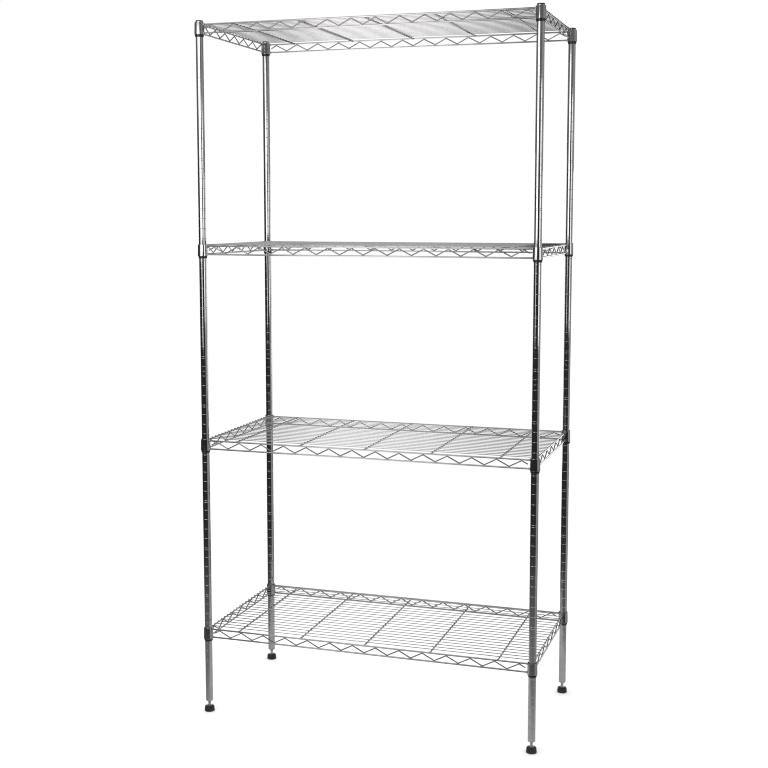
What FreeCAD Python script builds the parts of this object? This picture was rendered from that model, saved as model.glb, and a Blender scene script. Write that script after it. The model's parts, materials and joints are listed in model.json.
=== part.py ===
"""Wire shelving unit: four chromed posts, four welded wire shelves and four levelling feet.

Each post is two grooved tubes screwed together on a hidden stud, with a cap on top and a levelling
foot screwed into its lower end. Each shelf hangs on the posts by four tapered collars, and each
collar wedges on a plastic sleeve in two halves, whose bead clips into a groove of the post.
Millimetres, Z up, X along the shelves, origin on the floor midway between the posts.
"""

import FreeCAD, Part
import math
import os

# Posts: two tubes each, grooved all the way up so that a shelf can be clipped on at any height.
post_spacing_x = 874.6
post_spacing_y = 424.6
post_diameter = 19.05
post_wall = 1.0
post_roll = 1.5
groove_pitch = 25.4
grooves_per_tube = 35
groove_depth = 0.3
groove_width = 1.2
grooves_per_mark = 5
first_marked_groove = 2
mark_groove_drop = 5.2
joiner_length = 60.0
cap_height = 3.5
cap_bevel = 1.0
cap_plug_length = 12.0

# Levelling feet: a plastic pad on a threaded stem that screws into an insert in the tube.
pad_height = 14.5
pad_base_diameter = 27.0
pad_top_diameter = 24.6
pad_shoulder_round = 4.0
pad_foot_round = 1.5
stem_diameter = 8.0
stem_hub_diameter = 12.6
stem_hub_band = 1.0
stem_hub_height = 4.0
foot_extension = 14.0
foot_out_travel = 12.0
least_thread = 8.0
insert_recess = 5.0
insert_height = 16.0

# Collars and the split sleeves that they wedge on. Grooves are counted from the lower end of a post.
shelf_grooves = (8, 28, 48, 70)
collar_height = 30.0
collar_wall = 1.2
collar_bevel = 0.8
sleeve_wall_base = 1.775
sleeve_wall_top = 1.075
sleeve_lip = 6.0
sleeve_lip_bevel = 2.5
sleeve_below_bead = 25.5
sleeve_top_inset = 1.5
sleeve_split = 1.6

# Shelf wires: rims between the collars, a zigzag truss between each pair of rims, and the deck.
flats_per_quarter = 2
rim_wire = 4.0
rim_top_drop = 4.5
rim_base_rise = 4.0
truss_wire = 3.0
truss_end_offset = 33.0
waves_per_long_truss = 13
waves_per_short_truss = 6
truss_stub_share = 0.5
deck_wire = 2.0
number_of_deck_wires = 20
cross_wire = 4.0
number_of_cross_wires = 5

# Clearances
press_gap = 0.05
thread_gap = 0.05
weld_gap = 0.05
wedge_gap = 0.15
bead_gap = 0.1

# Radii and heights that follow from the sizes above
post_radius = post_diameter / 2
post_bore = post_radius - post_wall
tube_length = grooves_per_tube * groove_pitch
post_base = pad_height + foot_extension
post_joint = post_base + tube_length
post_top = post_joint + tube_length
insert_base = post_base + insert_recess
sleeve_taper = (sleeve_wall_base - sleeve_wall_top) / collar_height
sleeve_bore = post_radius + press_gap
rim_top = collar_height - rim_top_drop
deck_level = rim_top + rim_wire / 2

post_corners = {"fl": (-1, -1), "fr": (1, -1), "bl": (-1, 1), "br": (1, 1)}


def vector(x, y, z):
    return FreeCAD.Vector(x, y, z)


def revolve(profile, degrees=360):
    """Solid turned about Z from (radius, height) corners."""
    corners = [vector(radius, 0, height) for radius, height in profile]
    outline = Part.makePolygon(corners + corners[:1])
    return Part.Face(outline).revolve(vector(0, 0, 0), vector(0, 0, 1), degrees)


def at_post(shape, corner, height=0.0):
    """Copy of a shape made on the Z axis, moved onto one of the four posts."""
    side, depth = post_corners[corner]
    return shape.translated(vector(side * post_spacing_x / 2, depth * post_spacing_y / 2, height))


def at_every_post(shapes, height=0.0):
    return [at_post(shape, corner, height) for corner in post_corners for shape in shapes]


def export(node, solids):
    """Writes one node, as a single solid or as a group of separate ones."""
    shape = solids[0] if len(solids) == 1 else Part.makeCompound(solids)
    shape.exportStep(f"parts/{node}.step")


def groove_height(number):
    """Middle of a groove, counted from 1 at the lower end. The first lies half a pitch up the post."""
    return post_base + (number - 0.5) * groove_pitch


def groove_heights():
    """Middles of all the grooves of a post. A second one close below every fifth helps to count them."""
    heights = []
    for number in range(1, 2 * grooves_per_tube + 1):
        middle = groove_height(number)
        if number % grooves_per_mark == first_marked_groove:
            heights.append(middle - mark_groove_drop)
        heights.append(middle)
    return heights


def shelf_base(groove):
    """Height of a shelf's collar bottoms when its sleeves are clipped into a groove."""
    return groove_height(groove) - sleeve_below_bead + sleeve_lip


# Posts


def post_tube(base, rolled_end):
    """One tube of a post, with a row of grooves for the sleeves. Its lower end may be rolled inwards."""
    top = base + tube_length
    half = groove_width / 2
    if rolled_end:
        outline = [
            (post_bore, base + post_roll),
            (post_bore - post_roll, base),
            (post_radius - post_roll, base),
            (post_radius, base + post_roll),
        ]
    else:
        outline = [(post_bore, base), (post_radius, base)]
    for middle in groove_heights():
        if base < middle < top:
            outline.append((post_radius, middle - half))
            outline.append((post_radius - groove_depth, middle))
            outline.append((post_radius, middle + half))
    outline.append((post_radius, top))
    outline.append((post_bore, top))
    return revolve(outline)


def post_joiner():
    """Stud that screws the two tubes of a post together."""
    radius = post_bore - press_gap
    return Part.makeCylinder(radius, joiner_length, vector(0, 0, post_joint - joiner_length / 2))


def post_cap():
    """Cap pressed into the top of a post, no wider than the post so that a shelf lifts over it."""
    plug = post_bore - press_gap
    top = post_top + cap_height
    return revolve(
        [
            (0, post_top - cap_plug_length),
            (plug, post_top - cap_plug_length),
            (plug, post_top),
            (post_radius, post_top),
            (post_radius, top - cap_bevel),
            (post_radius - cap_bevel, top),
            (0, top),
        ]
    )


# Levelling feet


def foot_insert():
    """Threaded insert pressed into the lower end of a post."""
    outer = post_bore - press_gap
    inner = stem_diameter / 2 + thread_gap
    top = insert_base + insert_height
    return revolve([(inner, insert_base), (outer, insert_base), (outer, top), (inner, top)])


def foot_stem():
    """Threaded stem with a flared hub that stands on the pad."""
    hub = stem_hub_diameter / 2
    shaft = stem_diameter / 2
    top = insert_base + least_thread + foot_out_travel
    return revolve(
        [
            (0, pad_height),
            (hub, pad_height),
            (hub, pad_height + stem_hub_band),
            (shaft, pad_height + stem_hub_height),
            (shaft, top),
            (0, top),
        ]
    )


def round_edges(shape):
    """Circular edges of a turned shape, from the lowest up."""
    return sorted((edge for edge in shape.Edges if edge.isClosed()), key=lambda edge: edge.CenterOfMass.z)


def foot_pad():
    """Bell shaped pad: a slightly tapered drum with a large round shoulder and a softened lower edge."""
    drum = Part.makeCone(pad_base_diameter / 2, pad_top_diameter / 2, pad_height)
    bell = drum.makeFillet(pad_shoulder_round, round_edges(drum)[-1:])
    return bell.makeFillet(pad_foot_round, round_edges(bell)[:1])


# Sleeves and collars, made with the collar's lower edge at height 0


def sleeve_radius(height):
    """Outer radius of a sleeve, which thins towards the top so that the collar wedges on it."""
    return sleeve_bore + sleeve_wall_base - sleeve_taper * height


def collar_bore(height):
    """Inner radius of a collar, which follows the sleeve."""
    return sleeve_radius(height) + wedge_gap


def collar_radius(height):
    """Outer radius of a collar at a height above its lower edge."""
    return collar_bore(height) + collar_wall


def sleeve_halves():
    """The two halves of a sleeve, each with a bead inside that sits in the post's groove."""
    base = -sleeve_lip
    top = collar_height - sleeve_top_inset
    bead = base + sleeve_below_bead
    crest = post_radius - groove_depth + bead_gap
    half_bead = (groove_width / 2) * (sleeve_bore - crest) / groove_depth
    widest = sleeve_radius(0)
    sleeve = revolve(
        [
            (sleeve_bore, base),
            ((sleeve_bore + widest) / 2, base),
            (widest, base + sleeve_lip_bevel),
            (widest, 0),
            (sleeve_radius(top), top),
            (sleeve_bore, top),
            (sleeve_bore, bead + half_bead),
            (crest, bead),
            (sleeve_bore, bead - half_bead),
        ]
    )
    slot_corner = vector(-widest, -sleeve_split / 2, base)
    slot = Part.makeBox(2 * widest, sleeve_split, top - base, slot_corner)
    return sleeve.cut(slot).Solids


def collar():
    """Tapered steel collar, wider at the bottom, with a bevelled upper edge."""
    bevel_base = collar_height - collar_bevel
    return revolve(
        [
            (collar_bore(0), 0),
            (collar_radius(0), 0),
            (collar_radius(bevel_base), bevel_base),
            (collar_radius(collar_height) - collar_bevel, collar_height),
            (collar_bore(collar_height), collar_height),
        ]
    )


# Shelf wires, made with the collar's lower edge at height 0


def wire(points, normal, diameter):
    """Wire through points of one plane, mitred at its bends, with flats one diameter apart."""
    legs = [(end - start).normalize() for start, end in zip(points, points[1:])]
    across = [normal.cross(leg) for leg in legs]
    flats = 4 * flats_per_quarter
    corner_radius = diameter / 2 / math.cos(math.pi / flats)
    angles = [(flat + 0.5) * 2 * math.pi / flats for flat in range(flats)]
    rings = []
    for i, point in enumerate(points):
        before = across[max(i - 1, 0)]
        after = across[min(i, len(across) - 1)]
        mitre = (before + after) / (1 + before.dot(after))
        spokes = [normal * math.cos(angle) + mitre * math.sin(angle) for angle in angles]
        rings.append([point + spoke * corner_radius for spoke in spokes])
    faces = [Part.Face(Part.makePolygon(end + end[:1])) for end in (rings[0], rings[-1])]
    for ring, following in zip(rings, rings[1:]):
        for flat in range(flats):
            beside = (flat + 1) % flats
            corners = [ring[flat], ring[beside], following[beside], following[flat]]
            faces.append(Part.Face(Part.makePolygon(corners + corners[:1])))
    return Part.makeSolid(Part.Shell(faces))


def along(start, end, diameter):
    """Straight level wire."""
    return wire([start, end], vector(0, 0, 1), diameter)


def truss_rise(half_wave):
    """Height of the zigzag's centre line that lets its bends just reach both rim wires."""
    gap = rim_top - rim_base_rise - rim_wire - 2 * weld_gap
    share = 1 - (truss_wire / half_wave) ** 2
    return (gap - math.sqrt(gap**2 - share * (gap**2 - truss_wire**2))) / share


def zigzag(span, waves):
    """Bends of a truss as (run, height), with a short stub at each end that points to the collar."""
    half_wave = (span - 2 * truss_end_offset) / waves / 2
    rise = truss_rise(half_wave)
    high = (rim_top + rim_base_rise + rise) / 2
    first = truss_end_offset - span / 2
    stub_run = truss_stub_share * half_wave
    stub_height = high - truss_stub_share * rise
    bends = [(first - stub_run, stub_height)]
    for bend in range(2 * waves + 1):
        bends.append((first + bend * half_wave, high - rise * (bend % 2)))
    bends.append((stub_run - first, stub_height))
    return bends


def rim_wires():
    """Upper and lower rim wire on each side, butted on the collars."""
    wires = []
    for height in (rim_base_rise, rim_top):
        clear = collar_radius(height - rim_wire / 2) + weld_gap
        x_end = post_spacing_x / 2 - clear
        y_end = post_spacing_y / 2 - clear
        for side in (-1, 1):
            y = side * post_spacing_y / 2
            x = side * post_spacing_x / 2
            wires.append(along(vector(-x_end, y, height), vector(x_end, y, height), rim_wire))
            wires.append(along(vector(x, -y_end, height), vector(x, y_end, height), rim_wire))
    return wires


def truss_wires():
    """One zigzag on each side of the shelf, in the plane of that side's rim wires."""
    long_bends = zigzag(post_spacing_x, waves_per_long_truss)
    short_bends = zigzag(post_spacing_y, waves_per_short_truss)
    wires = []
    for side in (-1, 1):
        y = side * post_spacing_y / 2
        x = side * post_spacing_x / 2
        long_points = [vector(run, y, height) for run, height in long_bends]
        short_points = [vector(x, run, height) for run, height in short_bends]
        wires.append(wire(long_points, vector(0, 1, 0), truss_wire))
        wires.append(wire(short_points, vector(1, 0, 0), truss_wire))
    return wires


def cross_wires():
    """Wires from front rim to back rim, level with the rims, that carry the deck."""
    height = deck_level - cross_wire / 2
    y_end = post_spacing_y / 2 - rim_wire / 2 - weld_gap
    pitch = post_spacing_x / number_of_cross_wires
    first = (pitch - post_spacing_x) / 2
    wires = []
    for i in range(number_of_cross_wires):
        x = first + i * pitch
        wires.append(along(vector(x, -y_end, height), vector(x, y_end, height), cross_wire))
    return wires


def deck_wires():
    """Thin wires along the shelf, laid on the cross wires and on both end rims."""
    height = deck_level + deck_wire / 2 + weld_gap
    x_end = (post_spacing_x + rim_wire) / 2
    pitch = post_spacing_y / (number_of_deck_wires + 1)
    wires = []
    for i in range(number_of_deck_wires):
        y = (i + 1) * pitch - post_spacing_y / 2
        wires.append(along(vector(-x_end, y, height), vector(x_end, y, height), deck_wire))
    return wires


os.makedirs("parts", exist_ok=True)

post_pieces = {
    "post_lower": post_tube(post_base, True),
    "post_upper": post_tube(post_joint, False),
    "post_joiner": post_joiner(),
    "post_cap": post_cap(),
    "foot_insert": foot_insert(),
    "foot_stem": foot_stem(),
    "foot_pad": foot_pad(),
}
for name, piece in post_pieces.items():
    for corner in post_corners:
        export(f"{name}_{corner}", [at_post(piece, corner)])

shelf_pieces = {
    "sleeves": at_every_post(sleeve_halves()),
    "collars": at_every_post([collar()]),
    "rim_wires": rim_wires(),
    "truss_wires": truss_wires(),
    "cross_wires": cross_wires(),
    "deck_wires": deck_wires(),
}
for number, groove in enumerate(shelf_grooves, 1):
    lift = vector(0, 0, shelf_base(groove))
    for name, pieces in shelf_pieces.items():
        export(f"shelf_{number}_{name}", [piece.translated(lift) for piece in pieces])
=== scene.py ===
import json
import math
import bpy
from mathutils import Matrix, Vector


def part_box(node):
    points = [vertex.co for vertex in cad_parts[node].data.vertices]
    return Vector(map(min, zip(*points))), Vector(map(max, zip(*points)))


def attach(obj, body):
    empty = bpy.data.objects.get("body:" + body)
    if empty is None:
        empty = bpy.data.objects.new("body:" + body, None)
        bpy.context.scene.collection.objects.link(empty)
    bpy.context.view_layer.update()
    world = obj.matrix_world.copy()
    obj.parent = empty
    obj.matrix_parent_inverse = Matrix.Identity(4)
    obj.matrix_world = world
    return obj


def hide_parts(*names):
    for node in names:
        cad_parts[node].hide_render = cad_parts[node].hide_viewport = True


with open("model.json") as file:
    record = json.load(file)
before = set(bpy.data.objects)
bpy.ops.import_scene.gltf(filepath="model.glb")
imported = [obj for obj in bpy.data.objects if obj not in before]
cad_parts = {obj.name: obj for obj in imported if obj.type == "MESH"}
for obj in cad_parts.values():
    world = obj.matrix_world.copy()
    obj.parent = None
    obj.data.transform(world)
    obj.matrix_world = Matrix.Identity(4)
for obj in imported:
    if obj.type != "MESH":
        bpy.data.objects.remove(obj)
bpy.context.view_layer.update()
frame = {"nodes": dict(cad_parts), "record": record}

# Post tubes
# Each corner post is two chromed steel tubes, screwed end to end. A groove is rolled round the tube at
# every pitch, with a second one close below each fifth, so that a shelf can be clipped on at any height.
post_axes = {
    mount["name"].removeprefix("foot_face_"): mount["pos_m"][:2]
    for mount in frame["record"]["mounts"]
    if mount["name"].startswith("foot_face_")
}
tube_radius = 0.009525
tube_wall = 0.001
tube_bore = tube_radius - tube_wall
tube_roll = 0.0015
tube_end_bevel = 0.0003
groove_pitch = 0.0254
groove_depth = 0.0002
groove_width = 0.0008
grooves_per_tube = 35
twin_groove_every = 5
twin_groove_first = 2
twin_groove_drop = 0.0052
tube_sides = 48
smooth_below = math.radians(50)
hold_distance = 0.0002
long_run = 0.002
merge_within = 0.00001
start_size = 0.001
pit_dulling = 0.5
mark_blur = 0.6
pit_blur = 0.4
ripple_depth = 0.0004


def draw_line(points):
    """Open line through points, drawn from one vertex by extruding it from point to point."""
    bpy.ops.object.select_all(action="DESELECT")
    bpy.ops.mesh.primitive_plane_add(size=start_size, location=points[0])
    bpy.ops.object.transform_apply(location=True)
    bpy.ops.object.mode_set(mode="EDIT")
    bpy.ops.mesh.merge(type="CENTER")
    for start, end in zip(points, points[1:]):
        step = [b - a for a, b in zip(start, end)]
        bpy.ops.mesh.extrude_vertices_move(TRANSFORM_OT_translate={"value": step})
    bpy.ops.mesh.select_all(action="SELECT")


def smooth_faces():
    """Leaves edit mode and shades the piece smooth, apart from its sharp edges."""
    bpy.ops.object.mode_set(mode="OBJECT")
    bpy.ops.object.shade_smooth_by_angle(angle=smooth_below)


def held(outline):
    """The outline with a point close to both ends of each long run, so that the run is shaded straight."""
    points = list(outline[:1])
    for start, end in zip(outline, outline[1:]):
        run = math.dist(start, end)
        shares = (hold_distance / run, 1 - hold_distance / run) if run > long_run else ()
        for share in shares:
            points.append(tuple(a + (b - a) * share for a, b in zip(start, end)))
        points.append(end)
    return points


def turned(name, outline, sides):
    """Piece turned about Z from (radius, height) corners. The outline is closed, or ends on the axis."""
    draw_line([(radius, 0, height) for radius, height in held(outline)])
    bpy.ops.mesh.spin(steps=sides, angle=2 * math.pi, center=(0, 0, 0), axis=(0, 0, 1))
    bpy.ops.mesh.select_all(action="SELECT")
    bpy.ops.mesh.remove_doubles(threshold=merge_within)
    bpy.ops.mesh.normals_make_consistent(inside=False)
    smooth_faces()
    piece = bpy.context.object
    piece.name = name
    return piece


def round_corner(centre, radius, start, end, steps=5):
    """Points of an arc in the outline's plane, with its angles in degrees."""
    angles = [math.radians(start + (end - start) * step / steps) for step in range(steps + 1)]
    return [(centre[0] + radius * math.cos(a), centre[1] + radius * math.sin(a)) for a in angles]


def rolled_groove(middle, steps=4):
    """Outline of a groove, with rounded lips and a rounded floor."""
    points = []
    for step in range(steps + 1):
        across = 2 * step / steps - 1
        depth = groove_depth * (1 + math.cos(math.pi * across)) / 2
        points.append((tube_radius - depth, middle + across * groove_width / 2))
    return points


def tube_outline(base, top, lower_end, upper_end):
    """Closed outline of a tube: lower end, grooved outside, upper end and bore."""
    outline = list(lower_end)
    for number in range(1, grooves_per_tube + 1):
        middle = base + number * groove_pitch - groove_pitch / 2
        if number % twin_groove_every == twin_groove_first:
            outline += rolled_groove(middle - twin_groove_drop)
        outline += rolled_groove(middle)
    outline += upper_end
    return outline + [(tube_bore, top)] + outline[:1]


def copied(piece, name, move):
    """Copy of a piece with its own mesh, moved by a step."""
    bpy.ops.object.select_all(action="DESELECT")
    bpy.context.view_layer.objects.active = piece
    piece.select_set(True)
    bpy.ops.object.duplicate_move(TRANSFORM_OT_translate={"value": move})
    bpy.ops.object.transform_apply(location=True)
    bpy.context.object.name = name
    return bpy.context.object


def discard(piece):
    """Removes a piece once its copies are made."""
    bpy.data.objects.remove(piece)


class Shade:
    """A number or colour in a material's nodes. Sums, differences and products add Math nodes."""

    def __init__(self, tree, socket=None):
        self.tree = tree
        self.socket = socket

    def node(self, kind, settings=(), sockets=(), output=0):
        """Any node: its settings are set first, and then its sockets get values or links."""
        made = self.tree.nodes.new(kind)
        for name, value in dict(settings).items():
            setattr(made, name, value)
        for name, value in dict(sockets).items():
            self.feed(made.inputs[name], value)
        return Shade(self.tree, made.outputs[output])

    def feed(self, socket, value):
        """Links a shade to a socket, or sets a plain value on it."""
        if isinstance(value, Shade):
            self.tree.links.new(value.socket, socket)
        else:
            socket.default_value = value

    def math(self, operation, first, second):
        """Math node on two numbers or shades."""
        return self.node("ShaderNodeMath", {"operation": operation}, {0: first, 1: second})

    def mix(self, first, second):
        """Blend of two colours by this share. Colour sockets share their names, so they go by number."""
        return self.node("ShaderNodeMix", {"data_type": "RGBA"}, {0: self, 6: first, 7: second}, 2)

    def between(self, low, high):
        """0 below low, 1 above high and smooth between them."""
        sockets = {"Value": self, "From Min": low, "From Max": high}
        return self.node("ShaderNodeMapRange", {"interpolation_type": "SMOOTHSTEP"}, sockets)

    def __add__(self, other):
        return self.math("ADD", self, other)

    def __radd__(self, other):
        return self.math("ADD", other, self)

    def __sub__(self, other):
        return self.math("SUBTRACT", self, other)

    def __rsub__(self, other):
        return self.math("SUBTRACT", other, self)

    def __mul__(self, other):
        return self.math("MULTIPLY", self, other)

    def __rmul__(self, other):
        return self.math("MULTIPLY", other, self)


def new_material(name):
    """Empty material, with its shader, its nodes and its place on the object."""
    material = bpy.data.materials.new(name)
    material.use_nodes = True
    shader = material.node_tree.nodes["Principled BSDF"]
    nodes = Shade(material.node_tree)
    return material, shader, nodes, nodes.node("ShaderNodeTexCoord", output="Object")


def noise(nodes, place, scale, detail, roughness=0.5):
    """Cloudy pattern from 0 to 1. Scale is about how many clouds there are to a metre."""
    sockets = {"Vector": place, "Scale": scale, "Detail": detail, "Roughness": roughness}
    return nodes.node("ShaderNodeTexNoise", (), sockets)


def bumped(nodes, shader, height, strength, depth):
    """Gives a shader's surface a fine relief."""
    sockets = {"Height": height, "Strength": strength, "Distance": depth}
    nodes.feed(shader.inputs["Normal"], nodes.node("ShaderNodeBump", (), sockets))


def chrome(name, dull, bright, least_blur, blur_range, ripple):
    """Chrome plate: a cloudy tone, handling marks that blur it a little, pits and a rippled surface."""
    material, shader, nodes, place = new_material(name)
    cloud = noise(nodes, place, scale=16, detail=3)
    marks = noise(nodes, place, scale=90, detail=4, roughness=0.6).between(low=0.45, high=0.75)
    pits = noise(nodes, place, scale=1500, detail=2).between(low=0.66, high=0.74)
    ripples = noise(nodes, place, scale=420, detail=2)
    tone = cloud.mix((*dull, 1), (*bright, 1))
    nodes.feed(shader.inputs["Base Color"], (pit_dulling * pits).mix(tone, (*dull, 1)))
    nodes.feed(shader.inputs["Roughness"], least_blur + blur_range * (mark_blur * marks + pit_blur * pits))
    bumped(nodes, shader, ripples, ripple, ripple_depth)
    shader.inputs["Metallic"].default_value = 1
    return material


def fit(piece, body, material, node):
    """Gives a piece its material and the body that carries it, and hides the solid that it stands for."""
    piece.data.materials.clear()
    piece.data.materials.append(material)
    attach(piece, body)
    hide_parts(node)


post_chrome = chrome(
    "post_chrome_plate",
    dull=(0.50, 0.483, 0.496),
    bright=(0.60, 0.58, 0.595),
    least_blur=0.07,
    blur_range=0.07,
    ripple=0.004,
)
post_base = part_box("post_lower_fl")[0].z
post_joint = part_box("post_upper_fl")[0].z
post_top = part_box("post_upper_fl")[1].z
roll_height = post_base + tube_roll
rolled_end = round_corner((tube_bore - tube_roll, roll_height), tube_roll, 0, -90)
rolled_end += round_corner((tube_radius - tube_roll, roll_height), tube_roll, -90, 0)
joint_below = [(tube_radius, post_joint - tube_end_bevel), (tube_radius - tube_end_bevel, post_joint)]
joint_above = [(tube_radius - tube_end_bevel, post_joint), (tube_radius, post_joint + tube_end_bevel)]
tube_outlines = {
    "lower": tube_outline(post_base, post_joint, rolled_end, joint_below),
    "upper": tube_outline(
        post_joint, post_top, [(tube_bore, post_joint)] + joint_above, [(tube_radius, post_top)]
    ),
}
for half, outline in tube_outlines.items():
    tube = turned("tube", outline, tube_sides)
    for corner, axis in post_axes.items():
        piece = copied(tube, f"{half}_tube_{corner}", (*axis, 0))
        fit(piece, "frame", post_chrome, f"post_{half}_{corner}")
    discard(tube)

# Joining studs and foot inserts
# A steel stud inside each post screws its two tubes together, and a threaded steel insert is pressed
# into the lower end. Both are hidden in the tube, zinc plated and left as turned.
zinc_dull = (0.42, 0.43, 0.45, 1)
zinc_bright = (0.62, 0.63, 0.64, 1)
zinc_least_blur = 0.22
zinc_blur_range = 0.16
lathe_strength = 0.15
lathe_depth = 0.0002


def zinc(name):
    """Zinc plate: pale grey, blotchy and half dull, with fine lathe lines round the piece."""
    material, shader, nodes, place = new_material(name)
    blotch = noise(nodes, place, scale=220, detail=3)
    height = nodes.node("ShaderNodeSeparateXYZ", (), {0: place}, "Z")
    level = nodes.node("ShaderNodeCombineXYZ", (), {"Z": height})
    lathe_lines = noise(nodes, level, scale=4000, detail=1)
    nodes.feed(shader.inputs["Base Color"], blotch.mix(zinc_dull, zinc_bright))
    nodes.feed(shader.inputs["Roughness"], zinc_least_blur + zinc_blur_range * blotch)
    bumped(nodes, shader, lathe_lines, lathe_strength, lathe_depth)
    shader.inputs["Metallic"].default_value = 1
    return material


stud_zinc = zinc("stud_zinc_plate")
for corner in post_axes:
    for node in (f"post_joiner_{corner}", f"foot_insert_{corner}"):
        frame["nodes"][node].material_slots[0].material = stud_zinc

# Post caps
# A black plastic cap is pressed into the top of each post. Its plug is hidden in the tube, and its low
# crowned head is as wide as the post, so that a shelf still slides over it.
cap_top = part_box("post_cap_fl")[1].z
cap_plug_length = 0.012
cap_plug_play = 0.00005
cap_plug_radius = tube_bore - cap_plug_play
cap_edge = 0.0013
cap_edge_sweep = 80
cap_crown = 0.0006
crown_midway_share = 0.5
crown_drop_share = 0.3
dust_cover = 0.6
dust_blur = 0.18
skin_blur = 0.08
skin_depth = 0.0003


def moulded(name, colour, dusty, blur, grain):
    """Moulded black plastic: fine grain, and dust that greys it a little where it settles."""
    material, shader, nodes, place = new_material(name)
    dust = noise(nodes, place, scale=130, detail=4, roughness=0.65).between(low=0.48, high=0.8)
    skin = noise(nodes, place, scale=2600, detail=2)
    nodes.feed(shader.inputs["Base Color"], (dust_cover * dust).mix((*colour, 1), (*dusty, 1)))
    nodes.feed(shader.inputs["Roughness"], blur + dust_blur * dust + skin_blur * skin)
    bumped(nodes, shader, skin, grain, skin_depth)
    return material


cap_black = moulded(
    "cap_black_plastic", colour=(0.012, 0.012, 0.013), dusty=(0.05, 0.05, 0.05), blur=0.26, grain=0.10
)
cap_edge_height = cap_top - cap_crown - cap_edge
cap = turned(
    "cap",
    [
        (0, post_top - cap_plug_length),
        (cap_plug_radius - cap_crown, post_top - cap_plug_length),
        (cap_plug_radius, post_top - cap_plug_length + cap_crown),
        (cap_plug_radius, post_top),
        (tube_radius, post_top),
        *round_corner((tube_radius - cap_edge, cap_edge_height), cap_edge, 0, cap_edge_sweep),
        (crown_midway_share * tube_radius, cap_top - crown_drop_share * cap_crown),
        (0, cap_top),
    ],
    tube_sides,
)
for corner, axis in post_axes.items():
    piece = copied(cap, f"cap_{corner}", (*axis, 0))
    fit(piece, "frame", cap_black, f"post_cap_{corner}")
discard(cap)

# Foot stems
# Each levelling foot has a zinc plated steel stem. Its thread screws into the insert in the post, and
# its plain flared hub stands on the pad.
pad_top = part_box("foot_pad_fl")[1].z
stem_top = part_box("foot_stem_fl")[1].z
stem_radius = 0.004
stem_sides = 32
hub_radius = 0.0063
hub_band = 0.001
hub_height = 0.004
thread_pitch = 0.00125
thread_depth = 0.0006
thread_start = 0.0075
thread_flank_share = 0.4
thread_base_share = 0.97
thread_sink = 0.0002
thread_steps = 24

stem_root = stem_radius - thread_depth
flare = round_corner((hub_radius, pad_top + hub_height), hub_height - hub_band, -90, -180)
flare_scale = (hub_radius - stem_root) / (hub_height - hub_band)
flare = [(hub_radius - (hub_radius - radius) * flare_scale, height) for radius, height in flare]
stem = turned(
    "stem",
    [(0, pad_top), (hub_radius, pad_top), *flare, (stem_root, stem_top), (0, stem_top)],
    stem_sides,
)
thread_low = pad_top + thread_start
draw_line(
    [
        (stem_root - thread_sink, 0, thread_low),
        (stem_radius, 0, thread_low + thread_flank_share * thread_pitch),
        (stem_radius, 0, thread_low + (1 - thread_flank_share) * thread_pitch),
        (stem_root - thread_sink, 0, thread_low + thread_base_share * thread_pitch),
        (stem_root - thread_sink, 0, thread_low),
    ]
)
bpy.ops.mesh.remove_doubles(threshold=merge_within)
bpy.ops.object.mode_set(mode="OBJECT")
thread = bpy.context.object.modifiers.new("thread", "SCREW")
thread.screw_offset = thread_pitch
thread.iterations = int((stem_top - thread_low) / thread_pitch) - 1
thread.steps = thread_steps
thread.render_steps = thread_steps
bpy.ops.object.modifier_apply(modifier="thread")
bpy.ops.object.mode_set(mode="EDIT")
bpy.ops.mesh.select_all(action="SELECT")
bpy.ops.mesh.fill_holes(sides=0)
bpy.ops.mesh.normals_make_consistent(inside=False)
smooth_faces()
stem.select_set(True)
bpy.context.view_layer.objects.active = stem
bpy.ops.object.join()
for corner, axis in post_axes.items():
    piece = copied(stem, f"stem_{corner}", (*axis, 0))
    fit(piece, f"foot_{corner}", stud_zinc, f"foot_stem_{corner}")
discard(stem)

# Foot pads
# A pad of black rubbery plastic under each stem spreads the load. It is moulded in a bell shape, with a
# large round shoulder, and a softened lower edge keeps it from catching on the floor.
pad_base_radius = 0.01349
pad_top_radius = 0.0123
pad_foot_round = 0.0015
pad_foot_steps = 5
pad_shoulder_round = 0.004
pad_shoulder_steps = 9
pad_taper = (pad_base_radius - pad_top_radius) / pad_top
pad_slope = math.degrees(math.atan(pad_taper))


def pad_round(height, radius, start, end, steps):
    """Arc that runs into the pad's side, with its centre at a height and its angles in degrees."""
    middle = pad_base_radius - pad_taper * height - radius / math.cos(math.radians(pad_slope))
    return round_corner((middle, height), radius, start, end, steps)


pad_black = moulded(
    "pad_black_plastic", colour=(0.010, 0.010, 0.011), dusty=(0.04, 0.04, 0.039), blur=0.42, grain=0.2
)
shoulder_height = pad_top - pad_shoulder_round
pad = turned(
    "pad",
    [
        (0, 0),
        *pad_round(pad_foot_round, pad_foot_round, -90, pad_slope, pad_foot_steps),
        *pad_round(shoulder_height, pad_shoulder_round, pad_slope, 90, pad_shoulder_steps),
        (0, pad_top),
    ],
    tube_sides,
)
for corner, axis in post_axes.items():
    piece = copied(pad, f"pad_{corner}", (*axis, 0))
    fit(piece, f"foot_{corner}", pad_black, f"foot_pad_{corner}")
discard(pad)

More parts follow.
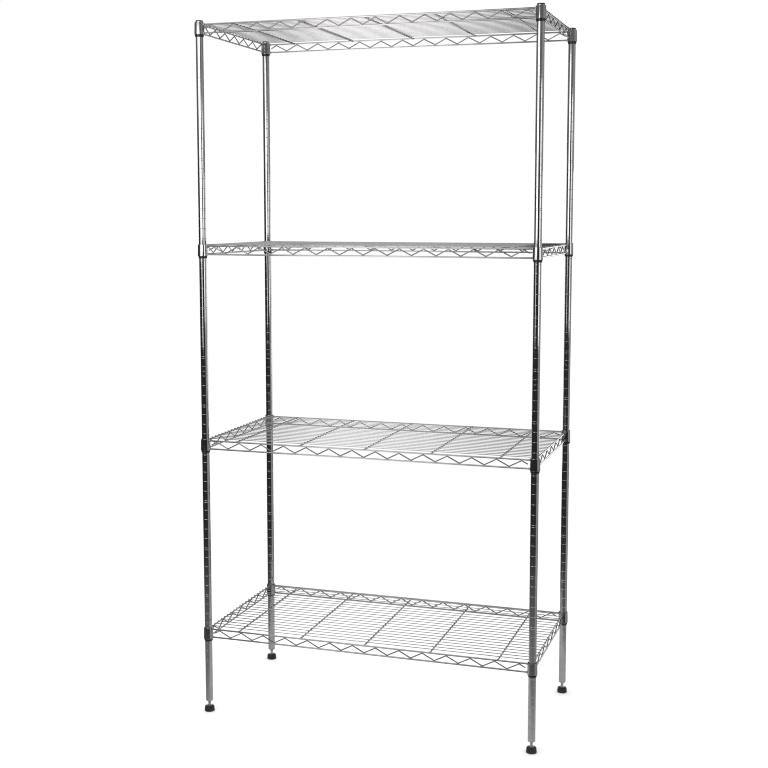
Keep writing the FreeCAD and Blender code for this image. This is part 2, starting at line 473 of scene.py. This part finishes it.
# Split sleeves
# A black plastic sleeve in two halves clips round the post under each collar. A bead inside sits in a
# groove of the post, and the outside widens downwards so that the collar wedges on it.
shelf_numbers = (1, 2, 3, 4)
shelf_bases = {number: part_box(f"shelf_{number}_collars")[0].z for number in shelf_numbers}
collar_height = 0.03
sleeve_play = 0.00005
sleeve_base_wall = 0.001775
sleeve_top_wall = 0.00111
sleeve_bore = tube_radius + sleeve_play
sleeve_base_radius = sleeve_bore + sleeve_base_wall
sleeve_top_radius = sleeve_bore + sleeve_top_wall
sleeve_lip = 0.006
sleeve_chin = 0.0025
sleeve_top_drop = 0.0015
sleeve_top = collar_height - sleeve_top_drop
sleeve_bead = 0.0002
sleeve_bead_height = 0.0195
sleeve_bead_run = 0.0004
sleeve_split = 0.0016
sleeve_edge = 0.0003
sleeve_edge_taper = 0.00001


def joined(pieces, name):
    """Several pieces made one, as a group that is fixed together."""
    bpy.ops.object.select_all(action="DESELECT")
    for piece in pieces:
        piece.select_set(True)
    bpy.context.view_layer.objects.active = pieces[0]
    bpy.ops.object.join()
    pieces[0].name = name
    return pieces[0]


def at_every_post(piece, name):
    """One copy of a piece on each post, joined, in place of the piece itself."""
    copies = [copied(piece, f"{name}_{corner}", (*axis, 0)) for corner, axis in post_axes.items()]
    discard(piece)
    return joined(copies, name)


def at_every_shelf(piece, name, material, on_frame=False):
    """One copy of a shelf's pieces on each shelf, carried by it or by the posts."""
    for number, base in shelf_bases.items():
        part = copied(piece, f"shelf_{number}_{name}_set", (0, 0, base))
        body = "frame" if on_frame else f"shelf_{number}"
        fit(part, body, material, f"shelf_{number}_{name}")
    discard(piece)


sleeve_black = moulded(
    "sleeve_black_plastic", colour=(0.008, 0.008, 0.009), dusty=(0.03, 0.03, 0.03), blur=0.16, grain=0.06
)
sleeve_outline = [
    (sleeve_bore, -sleeve_lip),
    ((sleeve_bore + sleeve_base_radius) / 2, -sleeve_lip),
    (sleeve_base_radius - sleeve_edge, sleeve_chin - sleeve_lip - sleeve_edge),
    (sleeve_base_radius, sleeve_chin - sleeve_lip + sleeve_edge),
    (sleeve_base_radius, 0),
    (sleeve_top_radius + sleeve_edge_taper, sleeve_top - sleeve_edge),
    (sleeve_top_radius - sleeve_edge, sleeve_top),
    (sleeve_bore, sleeve_top),
    (sleeve_bore, sleeve_bead_height + sleeve_bead_run),
    (sleeve_bore - sleeve_bead, sleeve_bead_height),
    (sleeve_bore, sleeve_bead_height - sleeve_bead_run),
    (sleeve_bore, -sleeve_lip),
]
halves = []
for side in (-1, 1):
    half = turned(f"sleeve_half_{side}", sleeve_outline, tube_sides)
    bpy.ops.object.mode_set(mode="EDIT")
    bpy.ops.mesh.select_all(action="SELECT")
    bpy.ops.mesh.bisect(
        plane_co=(0, side * sleeve_split / 2, 0), plane_no=(0, -side, 0), use_fill=True, clear_outer=True
    )
    smooth_faces()
    halves.append(half)
sleeves = at_every_post(joined(halves, "sleeve"), "sleeves")
at_every_shelf(sleeves, "sleeves", sleeve_black, on_frame=True)

# Collars
# A tapered steel collar at each corner of a shelf slides down over the sleeve and wedges on it. It is
# rolled from sheet with a softened upper edge, and chromed with the shelf after the wires are welded on.
collar_wall = 0.0012
collar_gap = 0.00015
collar_narrowing = 0.0007
collar_base_bore = sleeve_base_radius + collar_gap
collar_top_bore = collar_base_bore - collar_narrowing
collar_base_outer = collar_base_bore + collar_wall
collar_top_outer = collar_top_bore + collar_wall
collar_taper = collar_narrowing / collar_height
collar_top_round = 0.0007
collar_foot_edge = 0.0003
collar_foot_taper = 0.00001
collar_mouth_bevel = 0.0002
collar_mouth_depth = 0.0003

collar_chrome = chrome(
    "collar_chrome_plate",
    dull=(0.38, 0.366, 0.377),
    bright=(0.58, 0.56, 0.575),
    least_blur=0.07,
    blur_range=0.14,
    ripple=0.06,
)
collar_slope = math.degrees(math.atan(collar_taper))
round_middle = (collar_top_outer - collar_top_round, collar_height - collar_top_round)
collar = turned(
    "collar",
    [
        (collar_base_bore, collar_foot_edge),
        (collar_base_bore + collar_foot_edge, 0),
        (collar_base_outer - collar_foot_edge, 0),
        (collar_base_outer - collar_foot_taper, collar_foot_edge),
        *round_corner(round_middle, collar_top_round, collar_slope, 90),
        (collar_top_bore + collar_mouth_bevel, collar_height),
        (collar_top_bore, collar_height - collar_mouth_depth),
        (collar_base_bore, collar_foot_edge),
    ],
    tube_sides,
)
at_every_shelf(at_every_post(collar, "collars"), "collars", collar_chrome)

# Rim wires
# An upper and a lower rim wire run from collar to collar on each side of a shelf. They are drawn steel
# wire, and each end is welded to its collar with a small smooth bead.
rim_radius = 0.002
rim_heights = {"lower": 0.004, "upper": 0.0255}
rim_weld_sink = 0.0003
wire_sides = 16
bead_radius = 0.0031
bead_length = 0.0034
bead_steps = (0, 0.35, 0.65, 0.9, 1)
along_x = (0, math.pi / 2, 0)
along_y = (math.pi / 2, 0, 0)
half_x, half_y = [abs(distance) for distance in post_axes["fl"]]


def straight_wire(name, length, radius, end_radius, end_run):
    """Wire along Z about its middle. Each end runs out to its own radius, as a weld bead does."""
    lower = [(0, -length / 2)]
    for step in bead_steps:
        swell = math.sqrt(1 - step**2)
        lower.append((radius + (end_radius - radius) * swell, -length / 2 + end_run * step))
    upper = [(point_radius, -height) for point_radius, height in reversed(lower)]
    return turned(name, lower + upper, wire_sides)


def laid(piece, turn, spot):
    """Turns and moves a piece into its place, and leaves the place in its mesh."""
    bpy.ops.object.select_all(action="DESELECT")
    bpy.context.view_layer.objects.active = piece
    piece.select_set(True)
    piece.rotation_euler = turn
    piece.location = spot
    bpy.ops.object.transform_apply(location=True, rotation=True)
    return piece


# The wires' chrome is much darker than the posts': painted shade, standing in for the dark studio that the
# thin wires mirror.
wire_chrome = chrome(
    "wire_chrome_plate",
    dull=(0.29, 0.28, 0.288),
    bright=(0.38, 0.367, 0.377),
    least_blur=0.08,
    blur_range=0.10,
    ripple=0.02,
)
rims = []
for level, height in rim_heights.items():
    collar_reach = collar_base_outer - collar_taper * height - rim_weld_sink
    long_rim = 2 * (half_x - collar_reach)
    short_rim = 2 * (half_y - collar_reach)
    for side in (-1, 1):
        rim = straight_wire(f"rim_x_{level}_{side}", long_rim, rim_radius, bead_radius, bead_length)
        rims.append(laid(rim, along_x, (0, side * half_y, height)))
        rim = straight_wire(f"rim_y_{level}_{side}", short_rim, rim_radius, bead_radius, bead_length)
        rims.append(laid(rim, along_y, (side * half_x, 0, height)))
at_every_shelf(joined(rims, "rim_wires"), "rim_wires", wire_chrome)

# Truss wires
# A zigzag of thinner steel wire stiffens each side. It is bent cold with tight round bends, welded to
# both rims at every bend, and its cut ends stop short of the collars.
truss_radius = 0.0015
truss_end_offset = 0.033
truss_waves = {"x": 13, "y": 6}
truss_bend = 0.003
truss_bend_steps = 5
truss_run_cuts = 6
truss_stub_share = 0.5
truss_weld_sink = 0.0003
truss_roundness = 4


def select_edges(chosen):
    """Selects the edges of the open mesh whose length is chosen."""
    bpy.ops.mesh.select_all(action="DESELECT")
    bpy.ops.object.mode_set(mode="OBJECT")
    mesh = bpy.context.object.data
    for edge in mesh.edges:
        start, end = [mesh.vertices[number].co for number in edge.vertices]
        edge.select = chosen((end - start).length)
    bpy.ops.object.mode_set(mode="EDIT")
    bpy.ops.mesh.select_mode(type="EDGE")


def bent_wire(name, route, radius, bend_cut):
    """Round wire through points, with a smooth bend at each."""
    draw_line(route)
    bpy.ops.mesh.bevel(offset=bend_cut, segments=truss_bend_steps, affect="VERTICES")
    select_edges(lambda length: length > 2 * bend_cut)
    bpy.ops.mesh.subdivide(number_cuts=truss_run_cuts)
    bpy.ops.mesh.select_mode(type="VERT")
    bpy.ops.object.mode_set(mode="OBJECT")
    bpy.ops.object.convert(target="CURVE")
    line = bpy.context.object.data
    line.bevel_depth = radius
    line.bevel_resolution = truss_roundness
    line.use_fill_caps = True
    bpy.ops.object.convert(target="MESH")
    bpy.ops.object.shade_smooth_by_angle(angle=smooth_below)
    bpy.context.object.name = name
    return bpy.context.object


def zigzag(half_span, waves):
    """Corners of a truss as (run, height). The bends, once rounded, press lightly into both rims."""
    half_wave = (half_span - truss_end_offset) / waves
    reach = rim_radius + truss_radius - truss_weld_sink
    crest = rim_heights["upper"] - reach
    trough = rim_heights["lower"] + reach
    slope = math.atan((crest - trough) / half_wave)
    corner_gain = truss_bend * (1 / math.cos(slope) - 1)
    high = crest + corner_gain
    low = trough - corner_gain
    first = truss_end_offset - half_span
    stub_run = truss_stub_share * half_wave
    stub_height = high - truss_stub_share * (high - low)
    corners = [(first - stub_run, stub_height)]
    for bend in range(2 * waves + 1):
        corners.append((first + bend * half_wave, low if bend % 2 else high))
    corners.append((stub_run - first, stub_height))
    return corners, truss_bend * math.tan(slope)


trusses = []
for side in (-1, 1):
    corners, bend_cut = zigzag(half_x, truss_waves["x"])
    route = [(run, side * half_y, height) for run, height in corners]
    trusses.append(bent_wire(f"truss_x_{side}", route, truss_radius, bend_cut))
    corners, bend_cut = zigzag(half_y, truss_waves["y"])
    route = [(side * half_x, run, height) for run, height in corners]
    trusses.append(bent_wire(f"truss_y_{side}", route, truss_radius, bend_cut))
at_every_shelf(joined(trusses, "truss_wires"), "truss_wires", wire_chrome)

# Cross wires
# Five thick steel wires run from the front rim to the back rim, level with them, and carry the deck.
# Each is butt welded to both rims.
cross_radius = 0.002
cross_bead_radius = 0.00279
cross_bead_length = 0.00272
number_of_cross_wires = 5
cross_pitch = 2 * half_x / number_of_cross_wires
cross_length = 2 * (half_y - rim_radius)


def repeated(piece, count, step):
    """Row of copies of a piece, a step apart, as one mesh."""
    bpy.ops.object.select_all(action="DESELECT")
    bpy.context.view_layer.objects.active = piece
    piece.select_set(True)
    row = piece.modifiers.new("row", "ARRAY")
    row.count = count
    row.use_relative_offset = False
    row.use_constant_offset = True
    row.constant_offset_displace = step
    bpy.ops.object.modifier_apply(modifier="row")
    return piece


cross = straight_wire("cross_wires", cross_length, cross_radius, cross_bead_radius, cross_bead_length)
laid(cross, along_y, (cross_pitch / 2 - half_x, 0, rim_heights["upper"]))
repeated(cross, number_of_cross_wires, (cross_pitch, 0, 0))
at_every_shelf(cross, "cross_wires", wire_chrome)

# Deck wires
# Twenty thin steel wires lie along the shelf on the cross wires and on both end rims. They are spot
# welded at every crossing, where a little metal is squeezed out beside the wire.
deck_radius = 0.001
deck_end_radius = 0.0008
deck_end_run = 0.0004
deck_weld_gap = 0.00005
number_of_deck_wires = 20
deck_length = 2 * (half_x + rim_radius)
deck_pitch = 2 * half_y / (number_of_deck_wires + 1)
deck_height = rim_heights["upper"] + rim_radius + deck_radius + deck_weld_gap
squeeze_size = (0.0017, 0.0016, 0.0007)
squeeze_sides = 10
squeeze_rings = 5

deck = straight_wire("deck", deck_length, deck_radius, deck_end_radius, deck_end_run)
laid(deck, along_x, (0, deck_pitch - half_y, deck_height))
repeated(deck, number_of_deck_wires, (0, deck_pitch, 0))
squeezes = []
crossings = [cross_pitch * number + cross_pitch / 2 - half_x for number in range(number_of_cross_wires)]
for x in (-half_x, *crossings, half_x):
    bpy.ops.object.select_all(action="DESELECT")
    spot = (x, deck_pitch - half_y, deck_height - deck_radius)
    bpy.ops.mesh.primitive_uv_sphere_add(
        segments=squeeze_sides, ring_count=squeeze_rings, radius=1, location=spot, scale=squeeze_size
    )
    bpy.ops.object.transform_apply()
    bpy.ops.object.shade_smooth()
    squeezes.append(bpy.context.object)
squeeze = repeated(joined(squeezes, "squeeze"), number_of_deck_wires, (0, deck_pitch, 0))
at_every_shelf(joined([deck, squeeze], "deck_wires"), "deck_wires", wire_chrome)

# Floor
# A plain white floor that fades out into the white background. The chrome mirrors a grey card on it
# instead, which ends close round the feet, so that only the lower ends of the legs show it.
floor_size = 4.0
floor_middle = (0.1, 0.15, 0)
floor_blur = 0.8


def flat_sheet(name, low, high, fades_from, fades_to):
    """Round sheet on the floor with a slightly uneven tone and a soft edge."""
    bpy.ops.object.select_all(action="DESELECT")
    bpy.ops.mesh.primitive_plane_add(size=floor_size)
    sheet = bpy.context.object
    sheet.name = name
    material, shader, nodes, place = new_material(name)
    distance = {"operation": "DISTANCE"}
    away = nodes.node("ShaderNodeVectorMath", distance, {0: place, 1: floor_middle}, "Value")
    tone = noise(nodes, place, scale=3, detail=2)
    nodes.feed(shader.inputs["Base Color"], tone.mix((low, low, low, 1), (high, high, high, 1)))
    nodes.feed(shader.inputs["Alpha"], 1 - away.between(fades_from, fades_to))
    shader.inputs["Roughness"].default_value = floor_blur
    sheet.data.materials.append(material)
    return sheet


floor = flat_sheet("floor_white", low=0.91, high=0.93, fades_from=0.5, fades_to=1.5)
floor.visible_glossy = False
card = flat_sheet("grey_card", low=0.56, high=0.60, fades_from=0.5, fades_to=0.9)
card.visible_camera = False
card.visible_diffuse = False
card.visible_shadow = False

# Studio light
# A white surround lights the floor and the background. The chrome mirrors a dark studio instead, with a
# grey wall on the right, a tall strip light at the front left, its light on the floor, and soft boxes.
surround_white = (1.0, 1.0, 1.0, 1)
studio_dark = (0.03, 0.03, 0.031, 1)
studio_dim = (0.20, 0.20, 0.204, 1)
studio_floor = (0.26, 0.26, 0.262, 1)
studio_wall = (0.42, 0.41, 0.42, 1)
studio_ceiling = (0.10, 0.10, 0.102, 1)
strip_light = (0.9, 0.9, 0.9, 1)
strip_on_floor = (3.4, 3.4, 3.4, 1)
wall_direction = math.radians(12)

# Each edge in the studio is soft, between two values of one part of a direction
dim_edge = (0.0, 0.12)
floor_edge = (-0.36, -0.24)
wall_edge = (0.68, 0.9)
wall_foot = (-0.45, -0.25)
ceiling_edge = (0.15, 0.7)
strip_left = (-0.385, -0.345)
strip_right = (-0.28, -0.21)
strip_foot = (-0.06, -0.02)
strip_head = (0.4, 0.8)
lit_floor_edge = (-0.45, -0.38)

world = bpy.data.worlds.new("studio")
bpy.context.scene.world = world
world.use_nodes = True
background = world.node_tree.nodes["Background"]
nodes = Shade(world.node_tree)
direction = nodes.node("ShaderNodeTexCoord", output="Generated")
lengthways = nodes.node("ShaderNodeSeparateXYZ", (), {0: direction}, "X")
upwards = nodes.node("ShaderNodeSeparateXYZ", (), {0: direction}, "Z")
wall = (math.cos(wall_direction), math.sin(wall_direction), 0)
dot_product = {"operation": "DOT_PRODUCT"}
towards_wall = nodes.node("ShaderNodeVectorMath", dot_product, {0: direction, 1: wall}, "Value")
on_floor = 1 - upwards.between(*floor_edge)
on_wall = towards_wall.between(*wall_edge) * upwards.between(*wall_foot)
across_strip = lengthways.between(*strip_left) * (1 - lengthways.between(*strip_right))
up_strip = upwards.between(*strip_foot) * (1 - upwards.between(*strip_head))
on_lit_floor = across_strip * (1 - upwards.between(*lit_floor_edge))
studio = upwards.between(*dim_edge).mix(studio_dark, studio_dim)
studio = on_floor.mix(studio, studio_floor)
studio = on_wall.mix(studio, studio_wall)
studio = upwards.between(*ceiling_edge).mix(studio, studio_ceiling)
studio = (across_strip * up_strip).mix(studio, strip_light)
studio = on_lit_floor.mix(studio, strip_on_floor)
mirrored = nodes.node("ShaderNodeLightPath", output="Is Glossy Ray")
nodes.feed(background.inputs["Color"], mirrored.mix(surround_white, studio))


def soft_box(name, spot, aim, width, height, glow):
    """Large soft lamp turned towards a point, which the camera doesn't see. Glow is its brightness."""
    bpy.ops.object.light_add(type="AREA", location=spot)
    lamp = bpy.context.object
    lamp.name = name
    lamp.data.shape = "RECTANGLE"
    lamp.data.size = width
    lamp.data.size_y = height
    lamp.data.energy = glow * math.pi * width * height
    lamp.visible_camera = False
    away = [a - b for a, b in zip(aim, spot)]
    run = math.hypot(away[0], away[1])
    lamp.rotation_euler = (math.atan2(run, -away[2]), 0, math.atan2(-away[0], away[1]))


soft_box("key", spot=(-0.3, -1.5, 1.64), aim=(-0.3, 0, 1.64), width=1.2, height=0.82, glow=2.2)
soft_box("low", spot=(-0.6, -1.45, 1.04), aim=(-0.6, 0, 1.04), width=0.5, height=0.38, glow=1.3)
soft_box("fill", spot=(-1.09, -1.39, 1.6), aim=(-0.437, -0.212, 1.6), width=0.45, height=0.9, glow=1.6)
soft_box("right", spot=(2.30, -1.18, 1.32), aim=(0.44, -0.21, 1.32), width=1.2, height=1.04, glow=1.6)
soft_box("overhead", spot=(-0.75, -0.3, 3.0), aim=(-0.75, -0.29, 0), width=1.5, height=3.0, glow=1.2)
soft_box("back", spot=(0.9, 2.2, 0.9), aim=(0.1, 0, 0.9), width=1.2, height=1.2, glow=2.0)
soft_box("back_left", spot=(-1.6, 2.0, 0.85), aim=(0, 0, 0.85), width=1.0, height=1.5, glow=1.6)
bpy.context.scene.view_settings.view_transform = "Standard"

# Camera
# It stands to the right of the unit at chest height and looks slightly down. A narrow pixel filter
# keeps the thin wires sharp.
lens = 60.29
shift_down = -0.04
turned_left = math.radians(18.02)
tilted_down = math.radians(6.26)
stand = (1.0357, -3.2295, 1.3277)
sharp_filter = 1.1

bpy.ops.object.camera_add(location=stand, rotation=(math.pi / 2 - tilted_down, 0, turned_left))
camera = bpy.context.object
camera.data.lens = lens
camera.data.shift_y = shift_down
bpy.context.scene.camera = camera
bpy.context.scene.cycles.filter_width = sharp_filter
